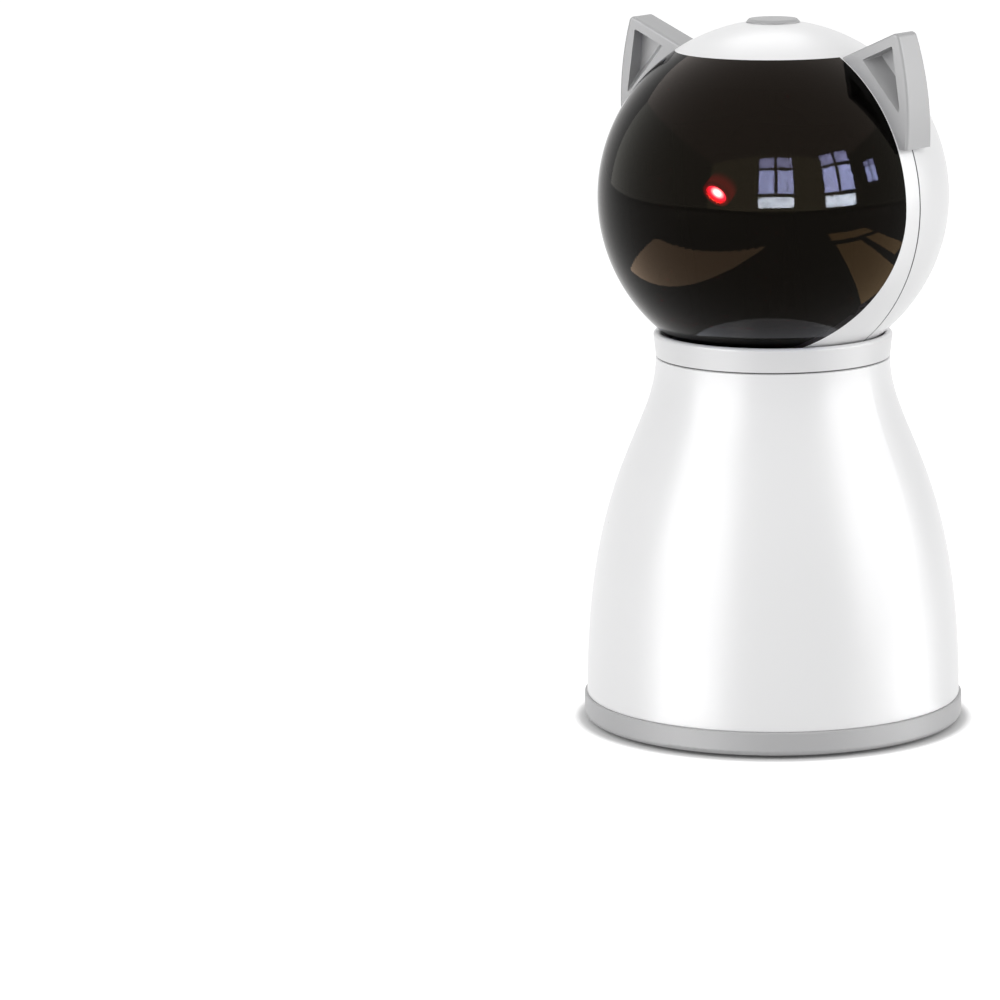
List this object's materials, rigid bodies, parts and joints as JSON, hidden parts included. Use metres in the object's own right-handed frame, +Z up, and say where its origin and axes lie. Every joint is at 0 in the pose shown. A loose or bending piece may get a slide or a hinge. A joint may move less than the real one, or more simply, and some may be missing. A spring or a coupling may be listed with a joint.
{
  "type": "automatic cat laser toy",
  "caption": "Free-standing cat laser toy: bell-shaped body on a base ring, turning ball head with smoked cover, cat ears and crown button.",
  "frame": {"origin": "middle of the underside of the four rubber feet, on the floor", "axes": "+Z up along the pan axis; -Y is the way the dark face looks at rest; +Y is the charging port side; +X is the toy's left-hand side seen from behind"},
  "size_m": [0.09, 0.09, 0.167],
  "materials": {
    "white_shell": "gloss",
    "grey_trim": "satin",
    "smoked_plastic": "polished",
    "foot_rubber": "matte",
    "screw_steel": "satin",
    "shaft_steel": "satin",
    "bearing_brass": "satin",
    "chassis_plastic": "matte",
    "gear_nylon": "satin",
    "circuit_board": "satin",
    "component_black": "satin",
    "socket_steel": "satin",
    "cell_wrap": "gloss",
    "strap_plastic": "matte",
    "wire_jacket": "satin",
    "laser_lens": "polished"
  },
  "bodies": {
    "body": {"base_cover": "grey_trim", "rubber_feet": "foot_rubber", "base_screws": "screw_steel", "body_shell": "white_shell", "collar_ring": "white_shell", "battery_tray": "chassis_plastic", "battery_cell": "cell_wrap", "battery_contacts": "socket_steel", "battery_strap": "strap_plastic", "strap_screws": "screw_steel", "main_board": "circuit_board", "board_parts": "component_black", "usb_socket": "socket_steel", "board_screws": "screw_steel", "neck_chassis": "chassis_plastic", "chassis_screws": "screw_steel", "pan_bush": "bearing_brass", "pan_gearbox": "shaft_steel", "pan_motor_can": "shaft_steel", "pan_bracket": "chassis_plastic", "pan_bracket_screws": "screw_steel", "body_harness": "wire_jacket"},
    "pan_drive": {"pan_pinion": "gear_nylon", "pan_motor_shaft": "shaft_steel"},
    "head": {"turntable": "chassis_plastic", "pan_gear": "gear_nylon", "hub_retainer": "chassis_plastic", "retainer_screws": "screw_steel", "head_chassis": "chassis_plastic", "turntable_screws": "screw_steel", "head_rear_shell": "white_shell", "head_front_frame": "white_shell", "shell_screws": "screw_steel", "head_screws": "screw_steel", "smoked_cover": "smoked_plastic", "top_cap": "white_shell", "left_ear": "grey_trim", "right_ear": "grey_trim", "ear_screws": "screw_steel", "tilt_gearbox": "shaft_steel", "tilt_motor_can": "shaft_steel", "tilt_motor_screws": "screw_steel", "tilt_bushes": "bearing_brass", "switch_board": "circuit_board", "switch_board_screws": "screw_steel", "tact_switch": "component_black", "head_harness": "wire_jacket"},
    "button": {"power_button": "grey_trim", "switch_nub": "gear_nylon"},
    "tilt_drive": {"tilt_pinion": "gear_nylon", "tilt_motor_shaft": "shaft_steel"},
    "laser": {"laser_carriage": "chassis_plastic", "tilt_sector": "gear_nylon", "sector_screw": "screw_steel", "laser_barrel": "bearing_brass", "laser_lens": "laser_lens", "laser_board": "circuit_board", "barrel_screw": "screw_steel"}
  },
  "joints": [
    {"name": "head_pan", "type": "hinge", "parent": "body", "child": "head", "pos_m": [0, 0, 0.0825], "axis": [0, 0, 1], "range_deg": [-160, 160]},
    {"name": "pan_motor_turn", "type": "hinge", "parent": "body", "child": "pan_drive", "pos_m": [0, 0.0192, 0.075], "axis": [0, 0, 1], "range_deg": [-490, 490]},
    {"name": "laser_tilt", "type": "hinge", "parent": "head", "child": "laser", "pos_m": [0, -0.0115, 0.13564], "axis": [1, 0, 0], "range_deg": [-20, 20]},
    {"name": "tilt_motor_turn", "type": "hinge", "parent": "head", "child": "tilt_drive", "pos_m": [0, 0.0041, 0.13564], "axis": [1, 0, 0], "range_deg": [-70, 70]},
    {"name": "button_press", "type": "slide", "parent": "head", "child": "button", "axis": [0, 0, -1], "range_m": [0, 0.0006], "stiffness_N_per_m": 800, "springref_m": -0.0005}
  ],
  "couplings": [
    {"joint": "pan_motor_turn", "follows": "head_pan", "ratio": -3},
    {"joint": "tilt_motor_turn", "follows": "laser_tilt", "ratio": -3.3333}
  ]
}
